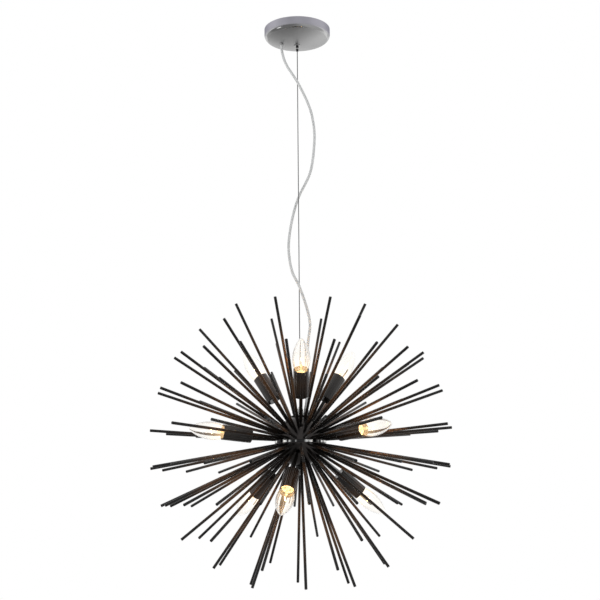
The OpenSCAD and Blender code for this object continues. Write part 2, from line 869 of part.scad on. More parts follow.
// Thin screw cap with its insulator and contact
module bulb_cap(n) {
    color("silver")
        at_light(n)
            difference() {
                union() {
                    translate([0, 0, contact_r])
                        cylinder(d1 = 4, d2 = 5, h = 1, $fn = small_fn);
                    translate([0, 0, contact_r + 1])
                        cylinder(d1 = 7, d2 = cap_d - 1.4, h = 2, $fn = small_fn);
                    translate([0, 0, contact_r + 3])
                        cylinder(d = cap_d - 0.8, h = cap_l - 6, $fn = round_fn);
                    translate([0, 0, cap_top - 3])
                        cylinder(d = cap_d, h = 3, $fn = round_fn);
                }
                translate([0, 0, contact_r + 4])
                    cylinder(d = cap_d - 0.8 - 2 * cap_wall, h = cap_l, $fn = round_fn);
            }
}

ceiling_bracket();
canopy_cup();
terminal_block();
gripper_body();
gripper_nuts();
gripper_plunger();
plunger_spring();
wire_tail();
canopy_cord_gland();
canopy_cord_tail();
suspension_wire();
cord_upper_stretch();
power_cord();
hub_upper_shell();
hub_lower_shell();
hub_belt();
hub_lid();
centre_tube();
wire_anchor();
bottom_nut();
hub_cord_gland();
hub_cord_tail();
hub_connector();
rod_row(0);  // rods_row_1
rod_row(1);  // rods_row_2
rod_row(2);  // rods_row_3
rod_row(3);  // rods_row_4
rod_row(4);  // rods_row_5
rod_row(5);  // rods_row_6
rod_row(6);  // rods_row_7
rod_row(7);  // rods_row_8
rod_row(8);  // rods_row_9
rod_row(9);  // rods_row_10
arm_tubes();
covers(0);  // covers_upper
covers(1);  // covers_middle
covers(2);  // covers_lower
holders(0);  // holders_upper
holders(1);  // holders_middle
holders(2);  // holders_lower
bulb_glass(0);  // bulb_1_glass
bulb_glass(1);  // bulb_2_glass
bulb_glass(2);  // bulb_3_glass
bulb_glass(3);  // bulb_4_glass
bulb_glass(4);  // bulb_5_glass
bulb_glass(5);  // bulb_6_glass
bulb_glass(6);  // bulb_7_glass
bulb_glass(7);  // bulb_8_glass
bulb_glass(8);  // bulb_9_glass
bulb_cap(0);  // bulb_1_cap
bulb_cap(1);  // bulb_2_cap
bulb_cap(2);  // bulb_3_cap
bulb_cap(3);  // bulb_4_cap
bulb_cap(4);  // bulb_5_cap
bulb_cap(5);  // bulb_6_cap
bulb_cap(6);  // bulb_7_cap
bulb_cap(7);  // bulb_8_cap
bulb_cap(8);  // bulb_9_cap
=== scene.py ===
"""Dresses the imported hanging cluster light: finishes, domed canopy, glass candles with their
filaments, threads, strands of the wire, power cord, studio and camera."""

import math

import bpy
from bpy.props import FloatProperty, FloatVectorProperty, IntProperty, PointerProperty
from mathutils import Matrix, Vector


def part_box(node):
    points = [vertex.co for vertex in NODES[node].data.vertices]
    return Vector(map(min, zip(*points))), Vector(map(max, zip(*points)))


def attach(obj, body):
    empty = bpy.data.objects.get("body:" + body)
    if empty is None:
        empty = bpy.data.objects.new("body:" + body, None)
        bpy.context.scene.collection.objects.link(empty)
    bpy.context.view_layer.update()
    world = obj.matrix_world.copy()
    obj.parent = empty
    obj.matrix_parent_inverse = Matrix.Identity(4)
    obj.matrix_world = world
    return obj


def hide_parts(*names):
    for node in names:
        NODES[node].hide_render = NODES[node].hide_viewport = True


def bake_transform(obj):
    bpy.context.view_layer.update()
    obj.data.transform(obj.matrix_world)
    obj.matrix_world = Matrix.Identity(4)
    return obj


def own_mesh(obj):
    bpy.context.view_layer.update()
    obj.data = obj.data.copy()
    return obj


bl_info = {
    "name": "Hanging cluster light",
    "version": (1, 0, 0),
    "blender": (4, 5, 0),
    "location": "View3D > Sidebar > Cluster light",
    "description": "Models and finishes a round hanging light with rods and candle bulbs",
    "category": "Object",
}

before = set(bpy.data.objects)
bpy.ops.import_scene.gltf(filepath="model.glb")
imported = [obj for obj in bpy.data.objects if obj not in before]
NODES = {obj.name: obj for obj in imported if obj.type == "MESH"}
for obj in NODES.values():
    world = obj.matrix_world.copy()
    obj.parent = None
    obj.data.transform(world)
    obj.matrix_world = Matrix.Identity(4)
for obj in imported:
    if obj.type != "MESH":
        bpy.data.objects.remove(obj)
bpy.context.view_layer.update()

MM = 0.001
TURN = 2 * math.pi
JOIN_WITHIN = 0.00001

# Hub centre, where all rods and lights start
HUB = Vector((0, 0, -0.864))

# Camera fitted to the photograph: place, angles in degrees, lens and sensor in millimetres
CAMERA_AT = (0.0013, -2.2872, HUB.z - 0.1412)
CAMERA_PITCH, CAMERA_ROLL = 10.516, -0.485
CAMERA_LENS, CAMERA_SENSOR = 69.04, 36

# Latitude of each row of lights and azimuth of its first light, in degrees
LIGHT_ROWS = ((55, 1.5), (5.5, 48.5), (-39, -12))
LIGHTS_IN_ROW = 3
LIGHTS = LIGHTS_IN_ROW * len(LIGHT_ROWS)

# Distances from the hub centre along the axis of a light
HOLDER_FACE = 0.1492
LEAD_FOOT, LEAD_TOP = 0.1665, 0.1805
BULB_LAMP = 0.183

# Points of the cord's centreline from the gland to the hub, in millimetres
CORD_POINTS = (
    (-33, 0, -34), (-32, -1, -50), (-23, -5, -80), (0, -9, -120), (21, -7, -165), (31, -3, -200),
    (34, 0, -245), (25, 6, -310), (0, 9, -364), (-14, 6, -414), (-21, 0, -470), (-15, -6, -520),
    (0, -9, -554), (14, -5, -595), (21, 0, -630), (17, 3, -665), (14, 2, -710), (13, 0, -760),
    (13, 0, -785), (13, 0, -803),
)

# Studio lamps: name, place, width, height, power in watts, and whether metal mirrors them
STUDIO_LAMPS = (
    ("left_lamp", (-3.0, -1.6, -0.2), 1.6, 2.6, 42, False),
    ("right_lamp", (2.8, -2.2, 0.2), 1.6, 2.6, 42, False),
    ("low_lamp", (-2.2, -0.5, -2.0), 0.8, 0.6, 2.5, True),
)
LAMPS_AIM = Vector((0, 0, -0.7))
FLOOR_SIZE, FLOOR_HEIGHT = 12, -2.3


class LampSizes(bpy.types.PropertyGroup):
    """Sizes of the pieces that are modelled here"""

    canopy_side: FloatProperty(
        name="Canopy side", description="Height of the straight side of the canopy",
        default=0.0125, min=0.008, max=0.018, unit="LENGTH")
    canopy_shoulder: FloatProperty(
        name="Canopy shoulder", description="Radius between the side and the domed underside",
        default=0.01, min=0.003, max=0.011, unit="LENGTH")
    canopy_depth: FloatProperty(
        name="Canopy depth", description="Height of the canopy at the middle of its dome",
        default=0.035, min=0.03, max=0.036, unit="LENGTH")
    cord_diameter: FloatProperty(
        name="Cord diameter", description="Diameter of the round power cord",
        default=0.0054, min=0.003, max=0.009, unit="LENGTH")
    wire_diameter: FloatProperty(
        name="Wire diameter", description="Diameter over the strands of the suspension wire",
        default=0.002, min=0.001, max=0.004, unit="LENGTH")
    wire_lay: FloatProperty(
        name="Lay of the strands", description="Length in which a strand goes once round the wire",
        default=0.018, min=0.008, max=0.04, unit="LENGTH")
    belly_diameter: FloatProperty(
        name="Candle diameter", description="Widest diameter of a glass candle",
        default=0.0346, min=0.02, max=0.05, unit="LENGTH")
    glass_wall: FloatProperty(
        name="Glass wall", description="Thickness of the candle glass",
        default=0.0009, min=0.0004, max=0.002, unit="LENGTH")
    filament_span: FloatProperty(
        name="Filament span", description="Width of the lit filament",
        default=0.011, min=0.004, max=0.02, unit="LENGTH")
    filament_turns: IntProperty(
        name="Filament turns", description="Turns of the lit filament coil",
        default=13, min=4, max=40)


class LampFinishes(bpy.types.PropertyGroup):
    """Colours and strengths of the finishes and lamps"""

    enamel: FloatVectorProperty(
        name="Black enamel", description="Colour of rods, covers and arms",
        subtype="COLOR", default=(0.0071, 0.0064, 0.0056), min=0, max=1)
    # Painted warm light: the brown that stands in for the bulbs' light falling on the enamel
    painted_bulb_light: FloatVectorProperty(
        name="Brown in the enamel", description="Colour of the enamel where it looks brown",
        subtype="COLOR", default=(0.084, 0.041, 0.016), min=0, max=1)
    chrome: FloatVectorProperty(
        name="Canopy chrome", description="Colour of the polished side of the canopy",
        subtype="COLOR", default=(0.47, 0.46, 0.51), min=0, max=1)
    satin: FloatVectorProperty(
        name="Canopy underside", description="Colour of the satin underside of the canopy",
        subtype="COLOR", default=(0.48, 0.48, 0.48), min=0, max=1)
    cord: FloatVectorProperty(
        name="Cord jacket", description="Colour of the translucent cord",
        subtype="COLOR", default=(0.82, 0.825, 0.815), min=0, max=1)
    filament: FloatVectorProperty(
        name="Filament light", description="Colour of the lit filament",
        subtype="COLOR", default=(1.0, 0.62, 0.28), min=0, max=1)
    filament_strength: FloatProperty(
        name="Filament strength", description="Strength of the lit filament",
        default=12.0, min=0, max=1000)
    bulb_power: FloatProperty(
        name="Bulb power", description="Light that each bulb casts on what is near, in watts",
        default=0.12, min=0, max=5)
    glow: FloatVectorProperty(
        name="Warm glow", description="Colour of glass and holder where the filament lights them",
        subtype="COLOR", default=(1.0, 0.66, 0.3), min=0, max=1)
    backdrop: FloatVectorProperty(
        name="Backdrop", description="Colour of the floor and backdrop",
        subtype="COLOR", default=(0.86, 0.86, 0.86), min=0, max=1)
    room: FloatVectorProperty(
        name="Room light", description="Colour of the plain light from all sides",
        subtype="COLOR", default=(0.9, 0.92, 0.95), min=0, max=1)
    room_strength: FloatProperty(
        name="Room strength", description="Strength of the plain light from all sides",
        default=0.35, min=0, max=2)


def sizes():
    return bpy.context.scene.lamp_sizes


def finishes():
    return bpy.context.scene.lamp_finishes


# Modelling helpers


def deselect():
    if bpy.context.object and bpy.context.object.mode != "OBJECT":
        bpy.ops.object.mode_set(mode="OBJECT")
    bpy.ops.object.select_all(action="DESELECT")


def make_active(piece):
    deselect()
    piece.select_set(True)
    bpy.context.view_layer.objects.active = piece


def apply_modifiers(piece):
    make_active(piece)
    for modifier in list(piece.modifiers):
        bpy.ops.object.modifier_apply(modifier=modifier.name)
    return piece


def close(piece, merge=False):
    """Closes open ends and turns the faces outwards, and joins double points before if asked."""
    make_active(piece)
    bpy.ops.object.mode_set(mode="EDIT")
    bpy.ops.mesh.select_all(action="SELECT")
    if merge:
        bpy.ops.mesh.remove_doubles(threshold=JOIN_WITHIN)
    bpy.ops.mesh.fill_holes(sides=0)
    bpy.ops.mesh.select_all(action="SELECT")
    bpy.ops.mesh.normals_make_consistent(inside=False)
    bpy.ops.object.mode_set(mode="OBJECT")
    return piece


def smooth(piece, angle=35):
    make_active(piece)
    bpy.ops.object.shade_smooth_by_angle(angle=math.radians(angle))
    return piece


def lathe(name, profile, segments):
    """A turned solid: a disc is extruded along +Z and resized at each (height, radius)."""
    deselect()
    height, radius = profile[0]
    bpy.ops.mesh.primitive_circle_add(
        vertices=segments, radius=radius, fill_type="NGON", location=(0, 0, height))
    piece = bpy.context.object
    piece.name = piece.data.name = name
    bpy.ops.object.transform_apply(location=True, rotation=True, scale=True)
    bpy.ops.object.mode_set(mode="EDIT")
    bpy.ops.mesh.select_all(action="SELECT")
    for next_height, next_radius in profile[1:]:
        bpy.ops.mesh.extrude_region_move(
            TRANSFORM_OT_translate={"value": (0, 0, next_height - height)})
        if abs(next_radius - radius) > 1e-7:
            ratio = next_radius / radius
            bpy.ops.transform.resize(
                value=(ratio, ratio, 1), center_override=(0, 0, next_height))
        height, radius = next_height, next_radius
    bpy.ops.object.mode_set(mode="OBJECT")
    return close(piece)


def new_piece(name, verts, edges, faces):
    mesh = bpy.data.meshes.new(name)
    mesh.from_pydata(verts, edges, faces)
    piece = bpy.data.objects.new(name, mesh)
    bpy.context.collection.objects.link(piece)
    return piece


def line(name, points, closed):
    """A mesh of edges only, in the XZ plane, that turned() takes round the axis."""
    count = len(points)
    edges = [(k, (k + 1) % count) for k in range(count if closed else count - 1)]
    return new_piece(name, [(x, 0, z) for x, z in points], edges, [])


def arc(x, z, radius, start, stop, steps, first=0):
    """Points of an arc round (x, z), by angles from straight down towards the outside."""
    turns = [start + (stop - start) * k / steps for k in range(first, steps + 1)]
    return [(x + radius * math.sin(turn), z - radius * math.cos(turn)) for turn in turns]


def turned(piece, steps, angle=TURN, rise=0.0, rounds=1, merge=False):
    """Takes a line round the Z axis, by a rise in each round."""
    screw = piece.modifiers.new("turns", "SCREW")
    screw.angle, screw.screw_offset, screw.iterations = angle, rise, rounds
    screw.steps = screw.render_steps = steps
    screw.use_merge_vertices, screw.merge_threshold = merge, JOIN_WITHIN
    return apply_modifiers(piece)


def thread(name, bottom, length, radius, pitch, depth):
    """A screw thread: a V of one pitch is turned up round by round, and its ends are closed."""
    sunk = 0.0001
    root, crest = radius - sunk, radius + depth
    points = [(root, bottom), (crest, bottom + pitch / 2), (root, bottom + pitch)]
    rounds = max(1, round(length / pitch) - 1)
    piece = turned(line(name, points, False), 32, rise=pitch, rounds=rounds, merge=True)
    return close(piece, merge=True)


def copy_of(piece, name):
    twin = piece.copy()
    twin.data = piece.data.copy()
    twin.name = twin.data.name = name
    bpy.context.collection.objects.link(twin)
    return twin


def place(piece, matrix):
    """Moves the mesh and leaves the object at the origin."""
    piece.data.transform(matrix)
    piece.data.update()
    return piece


def join(pieces, name):
    deselect()
    for piece in pieces:
        piece.select_set(True)
    bpy.context.view_layer.objects.active = pieces[0]
    bpy.ops.object.join()
    pieces[0].name = pieces[0].data.name = name
    return pieces[0]


def light_matrix(index):
    """Turns +Z at the hub along a light. Azimuths count from the front towards the right."""
    lat, first = LIGHT_ROWS[index // LIGHTS_IN_ROW]
    az = first + 360 / LIGHTS_IN_ROW * (index % LIGHTS_IN_ROW)
    return (Matrix.Translation(HUB) @ Matrix.Rotation(math.radians(az - 90), 4, "Z")
            @ Matrix.Rotation(math.radians(90 - lat), 4, "Y"))


def between(a, b, c, d, t):
    """The point at the share t of a smooth curve from b to c, which a and d lie beside."""
    return 0.5 * (2 * b + (c - a) * t + (2 * a - 5 * b + 4 * c - d) * t * t
                  + (3 * b - a - 3 * c + d) * t * t * t)


def smooth_path(points, steps):
    """A smooth curve through points in millimetres, with so many steps between two of them."""
    knots = [Vector(point) * MM for point in points]
    knots = [2 * knots[0] - knots[1]] + knots + [2 * knots[-1] - knots[-2]]
    path = [between(*knots[i - 1:i + 3], step / steps)
            for i in range(1, len(knots) - 2) for step in range(steps)]
    return path + [knots[-2]]


def skin(name, rings):
    """A closed tube through rings of points."""
    sides, last = len(rings[0]), len(rings) - 1
    faces = []
    for i in range(last):
        for k in range(sides):
            a, b = i * sides + k, i * sides + (k + 1) % sides
            faces.append((a, b, b + sides, a + sides))
    faces.append(tuple(range(sides - 1, -1, -1)))
    faces.append(tuple(last * sides + k for k in range(sides)))
    return new_piece(name, [tuple(point) for ring in rings for point in ring], [], faces)


def tube(name, path, radius, sides):
    """A closed round tube along a path, with level ends and a UV map along its length."""
    last = len(path) - 1
    lengths = [0.0]
    for a, b in zip(path, path[1:]):
        lengths.append(lengths[-1] + (b - a).length)
    turns = [TURN * k / sides for k in range(sides)]
    rings = []
    for i, point in enumerate(path):
        along = (path[min(i + 1, last)] - path[max(i - 1, 0)]).normalized()
        if i in (0, last):
            along = Vector((0, 0, -1))
        across = Vector((0.02, 1, 0)).cross(along).normalized()
        other = along.cross(across)
        rings.append([point + radius * (math.cos(turn) * across + math.sin(turn) * other)
                      for turn in turns])
    piece = skin(name, rings)
    layer = piece.data.uv_layers.new(name="along")
    for polygon in piece.data.polygons:
        seam = {vertex % sides for vertex in polygon.vertices} == {0, sides - 1}
        for loop in polygon.loop_indices:
            ring, side = divmod(piece.data.loops[loop].vertex_index, sides)
            layer.data[loop].uv = (1.0 if seam and side == 0 else side / sides, lengths[ring])
    return close(piece)


# Materials


class Nodes:
    """Adds nodes to a tree and links them."""

    def __init__(self, tree, coords):
        self.tree = tree
        self.coords = self.node("ShaderNodeTexCoord").outputs[coords]

    def node(self, kind, **values):
        made = self.tree.nodes.new(kind)
        for key, value in values.items():
            setattr(made, key, value)
        return made

    def link(self, source, target):
        self.tree.links.new(source, target)

    def stretched(self, scale):
        mapping = self.node("ShaderNodeMapping")
        mapping.inputs["Scale"].default_value = scale
        self.link(self.coords, mapping.inputs["Vector"])
        return mapping.outputs["Vector"]

    def noise(self, scale, detail, vector=None, rough=0.55):
        made = self.node("ShaderNodeTexNoise")
        made.inputs["Scale"].default_value = scale
        made.inputs["Detail"].default_value = detail
        made.inputs["Roughness"].default_value = rough
        self.link(vector or self.coords, made.inputs["Vector"])
        return made.outputs["Fac"]

    def ramp(self, source, *stops):
        """Colour between two stops, each a position and a colour."""
        made = self.node("ShaderNodeValToRGB")
        for element, (position, colour) in zip(made.color_ramp.elements, stops):
            element.position = position
            element.color = (*colour[:3], 1)
        self.link(source, made.inputs["Fac"])
        return made.outputs["Color"]

    def spread(self, source, low, high, start=0.3, stop=0.7, kind="LINEAR"):
        """Goes from low to high while the source goes from start to stop."""
        made = self.node("ShaderNodeMapRange", interpolation_type=kind)
        limits = {"From Min": start, "From Max": stop, "To Min": low, "To Max": high}
        for key, value in limits.items():
            made.inputs[key].default_value = value
        self.link(source, made.inputs["Value"])
        return made.outputs["Result"]

    def fade(self, source, low, high, start, stop):
        """The same with soft ends."""
        return self.spread(source, low, high, start, stop, "SMOOTHSTEP")

    def axis(self, letter):
        parts = self.node("ShaderNodeSeparateXYZ")
        self.link(self.coords, parts.inputs[0])
        return parts.outputs[letter]

    def calculate(self, operation, *values):
        made = self.node("ShaderNodeMath", operation=operation)
        for value, socket in zip(values, made.inputs):
            self.link(value, socket)
        return made.outputs[0]

    def times(self, first, second):
        return self.calculate("MULTIPLY", first, second)

    def mix(self, factor, first, second):
        """Colour between two colours or colour sockets."""
        made = self.node("ShaderNodeMix", data_type="RGBA")
        self.link(factor, made.inputs[0])
        for socket, value in ((made.inputs[6], first), (made.inputs[7], second)):
            if isinstance(value, bpy.types.NodeSocket):
                self.link(value, socket)
            else:
                socket.default_value = (*value[:3], 1)
        return made.outputs[2]

    def mix_shader(self, factor, first, second):
        made = self.node("ShaderNodeMixShader")
        for value, socket in zip((factor, first, second), made.inputs):
            self.link(value, socket)
        return made.outputs[0]


class Finish(Nodes):
    """Builds one node material on Object coordinates."""

    def __init__(self, name):
        self.material = bpy.data.materials.new(name)
        self.material.use_nodes = True
        super().__init__(self.material.node_tree, "Object")
        self.shader = self.tree.nodes["Principled BSDF"]

    def set(self, **values):
        for key, value in values.items():
            self.shader.inputs[key.replace("_", " ")].default_value = value

    def feed(self, key, source):
        self.link(source, self.shader.inputs[key])

    def from_hub(self):
        """Distance from the hub centre, along which every light is built."""
        made = self.node("ShaderNodeVectorMath", operation="DISTANCE")
        self.link(self.coords, made.inputs[0])
        made.inputs[1].default_value = HUB
        return made.outputs["Value"]

    def colour(self, source, first, second):
        self.feed("Base Color", self.ramp(source, (0.35, first), (0.65, second)))

    def rough(self, source, low, high):
        self.feed("Roughness", self.spread(source, low, high))

    def bump(self, source, depth, strength=0.4):
        made = self.node("ShaderNodeBump")
        made.inputs["Strength"].default_value = strength
        made.inputs["Distance"].default_value = depth
        self.link(source, made.inputs["Height"])
        self.feed("Normal", made.outputs["Normal"])

    def only_seen(self):
        """The glow shows in the picture, but small lamps throw the bulbs' light without grain."""
        self.material.cycles.emission_sampling = "NONE"


def scaled(colour, factor):
    """A colour made lighter or darker, up to full brightness."""
    return tuple(min(1.0, c * factor) for c in colour[:3])


def enamel(name, colour, painted_warm_light, rough, gloss):
    """Black stoved enamel with painted warm light: brown in patches within reach of the bulbs'
    light. It mirrors less near the hub, a painted shade where the rods stand close together."""
    finish = Finish(name)
    reach = finish.from_hub()
    # Painted warm light: brown between 0.07 and 0.27 m from the hub centre, in random patches
    lit = finish.times(finish.fade(reach, 0.1, 1, 0.07, 0.17), finish.fade(reach, 1, 0, 0.2, 0.27))
    patches = finish.fade(finish.noise(11, 3), 0.15, 1, 0.4, 0.6)
    finish.feed("Base Color", finish.mix(finish.times(lit, patches), colour, painted_warm_light))
    finish.rough(finish.noise(70, 4), *rough)
    # Painted shade: the enamel mirrors less near the hub, where the rods shade each other
    finish.feed("Specular IOR Level", finish.spread(reach, 0.3 * gloss, gloss, 0.05, 0.22))
    finish.bump(finish.noise(420, 2), 0.000004, 0.5)
    return finish.material


def metal(name, colour, rough, grain, depth=0.00001):
    finish = Finish(name)
    cloud = finish.noise(grain, 5)
    finish.colour(cloud, scaled(colour, 0.92), scaled(colour, 1.06))
    finish.rough(cloud, *rough)
    finish.bump(finish.noise(1400, 2), depth)
    finish.set(Metallic=1.0)
    return finish.material


def plastic(name, colour, rough, transmission=0.0):
    finish = Finish(name)
    cloud = finish.noise(45, 4)
    finish.colour(cloud, scaled(colour, 0.94), scaled(colour, 1.05))
    finish.rough(cloud, *rough)
    finish.bump(finish.noise(700, 3), 0.00002)
    finish.set(Transmission_Weight=transmission, IOR=1.46)
    return finish.material


def canopy_chrome(name, polished, satin):
    """Soft chrome side, polished shoulder and satin dome, told apart by their height."""
    finish = Finish(name)
    height = finish.axis("Z")
    dome_top, shoulder_low, shoulder_top, side_low = -0.0222, -0.0212, -0.0175, -0.0155
    side = finish.fade(height, 0, 1, -0.02, -0.013)
    shoulder = finish.times(finish.fade(height, 0, 1, dome_top, shoulder_low),
                            finish.fade(height, 1, 0, shoulder_top, side_low))
    grain = finish.noise(35, 4)
    above = finish.mix(grain, scaled(polished, 0.9), scaled(polished, 1.1))
    under = finish.mix(grain, scaled(satin, 0.95), scaled(satin, 1.05))
    finish.feed("Base Color", finish.mix(side, under, above))
    finish.feed("Specular Tint", finish.mix(side, (1, 1, 1), (0.45, 0.45, 0.48)))
    finish.feed("Roughness", finish.spread(shoulder, 0.4, 0.1, 0, 1))
    finish.bump(finish.noise(900, 2), 0.000006)
    finish.set(Metallic=1.0)
    return finish.material


def belt_chrome(name, bright, dark):
    """Polished belt with a painted dark reflection of the rods before it, widest in the middle."""
    finish = Finish(name)
    painted_reflection_mask = finish.fade(finish.noise(85, 2, finish.stretched((1, 1, 0.2))), 0, 1, 0.42, 0.56)
    beside = finish.fade(finish.calculate("ABSOLUTE", finish.axis("X")), 0, 1, 0.006, 0.012)
    # Painted reflection: the dark colour lies in streaks, and covers the belt fully where X is
    # near zero
    finish.feed("Base Color", finish.mix(finish.times(painted_reflection_mask, beside), dark, bright))
    finish.rough(finish.noise(40, 5), 0.05, 0.1)
    finish.bump(finish.noise(1400, 2), 0.00001)
    finish.set(Metallic=1.0)
    return finish.material


def ringed_steel(name, middle, half):
    """Dark steel with a bright turned ring round the height middle."""
    finish = Finish(name)
    height = finish.axis("Z")
    edge = 0.0002
    above = finish.spread(height, 0, 1, middle - half, middle - half + edge)
    below = finish.spread(height, 1, 0, middle + half - edge, middle + half)
    dark, bright = (0.05, 0.05, 0.052), (0.75, 0.75, 0.74)
    finish.feed("Base Color", finish.mix(finish.times(above, below), dark, bright))
    finish.rough(finish.noise(120, 4), 0.2, 0.34)
    finish.bump(finish.noise(1200, 2), 0.00001)
    finish.set(Metallic=1.0)
    return finish.material


def cord_jacket(name, colour):
    finish = Finish(name)
    cloud = finish.noise(60, 4)
    finish.colour(cloud, scaled(colour, 0.93), scaled(colour, 1.06))
    finish.rough(cloud, 0.3, 0.42)
    finish.bump(finish.noise(150, 2), 0.00002, 0.3)
    finish.set(Transmission_Weight=0.08, IOR=1.46, Coat_Weight=0.2, Coat_Roughness=0.2)
    return finish.material


def clear_glass(name, glow):
    """Clear glass with a painted glow in the colour of the filament, most where it leaves the
    cover.
    """
    finish = Finish(name)
    strong_until, faint_from = 0.156, 0.195
    cloud = finish.noise(30, 2)
    finish.colour(cloud, (1.0, 0.99, 0.965), (1.0, 0.995, 0.985))
    finish.rough(cloud, 0.0, 0.01)
    finish.bump(finish.noise(18, 1), 0.00008, 0.2)
    # Painted light: the glass glows with the filament's colour, though it is no lamp
    finish.feed("Emission Color", finish.mix(cloud, scaled(glow, 0.95), glow))
    finish.feed("Emission Strength",
                finish.fade(finish.from_hub(), 0.16, 0.01, strong_until, faint_from))
    finish.set(Transmission_Weight=1.0, IOR=1.45)
    finish.only_seen()
    return finish.material


def stem_glass(name, glow):
    """Glass of the foot and stem, with painted light: an amber colour and a glow where the
    filament shines through.
    """
    finish = Finish(name)
    cloud = finish.noise(200, 3)
    # Painted light: the amber colour and the glow stand in for the filament's light in the stem
    finish.colour(cloud, (1.0, 0.86, 0.62), (1.0, 0.93, 0.78))
    finish.rough(cloud, 0.04, 0.12)
    finish.bump(cloud, 0.00003, 0.3)
    finish.feed("Emission Color", finish.mix(cloud, scaled(glow, 0.9), glow))
    finish.set(Transmission_Weight=0.85, IOR=1.45, Emission_Strength=0.35)
    finish.only_seen()
    return finish.material


def lit_plastic(name, colour, pale, glow, edge):
    """Dark holder whose pale face, from the distance edge on, has a painted glow of the filament's
    light.
    """
    finish = Finish(name)
    cloud = finish.noise(60, 4)
    face = finish.spread(finish.from_hub(), 0, 1, edge - 0.001, edge)
    dark = finish.mix(cloud, scaled(colour, 0.9), scaled(colour, 1.1))
    finish.feed("Base Color", finish.mix(face, dark, pale))
    # Painted light: the pale face glows with the filament's colour, though it is no lamp
    finish.feed("Emission Color", finish.mix(cloud, scaled(glow, 0.85), glow))
    finish.feed("Emission Strength", finish.spread(face, 0, 0.75, 0, 1))
    finish.rough(cloud, 0.4, 0.55)
    finish.bump(finish.noise(700, 3), 0.00002)
    finish.only_seen()
    return finish.material


def lit_filament(name, colour, strength):
    finish = Finish(name)
    heat = finish.noise(400, 1)
    finish.feed("Emission Color",
                finish.ramp(heat, (0.3, scaled(colour, 0.9)), (0.7, scaled(colour, 1.1))))
    finish.set(Emission_Strength=strength, Base_Color=(0.4, 0.3, 0.2, 1))
    finish.only_seen()
    return finish.material


def dress(nodes, material):
    """Gives CAD nodes a material."""
    for name in nodes:
        slots = NODES[name].data.materials
        slots.clear()
        slots.append(material)


def nodes_of(kind):
    return [name for name in NODES if name.startswith(kind)]


# Operators, in the order in which the light is made


class LAMP_OT_camera(bpy.types.Operator):
    """Camera at the photograph's place: below the hub, looking up"""

    bl_idname = "lamp.camera"
    bl_label = "Camera"

    def execute(self, context):
        pitch, roll = math.radians(CAMERA_PITCH), math.radians(CAMERA_ROLL)
        ahead = Vector((0, math.cos(pitch), math.sin(pitch)))
        up_level = Vector((0, -math.sin(pitch), math.cos(pitch)))
        right_level = Vector((1, 0, 0))
        right = right_level * math.cos(roll) + up_level * math.sin(roll)
        up = up_level * math.cos(roll) - right_level * math.sin(roll)
        data = bpy.data.cameras.new("photo_camera")
        data.lens, data.sensor_width = CAMERA_LENS, CAMERA_SENSOR
        data.clip_start, data.clip_end = 0.05, 100
        camera = bpy.data.objects.new("photo_camera", data)
        context.collection.objects.link(camera)
        turn = Matrix((right, up, -ahead)).transposed().to_4x4()
        camera.matrix_world = Matrix.Translation(CAMERA_AT) @ turn
        context.scene.camera = camera
        return {"FINISHED"}


class LAMP_OT_power_cord(bpy.types.Operator):
    """Translucent power cord that winds loosely round the wire"""

    bl_idname = "lamp.power_cord"
    bl_label = "Power cord"

    def execute(self, context):
        diameter = sizes().cord_diameter
        path = smooth_path(CORD_POINTS, steps=12)
        piece = smooth(tube("power_cord_jacket", path, diameter / 2, sides=20))
        jacket = cord_jacket("cord_jacket", finishes().cord)
        piece.data.materials.append(jacket)
        dress(["canopy_cord_tail", "hub_cord_tail"], jacket)
        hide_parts("power_cord", "cord_upper_stretch")
        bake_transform(piece)
        return {"FINISHED"}


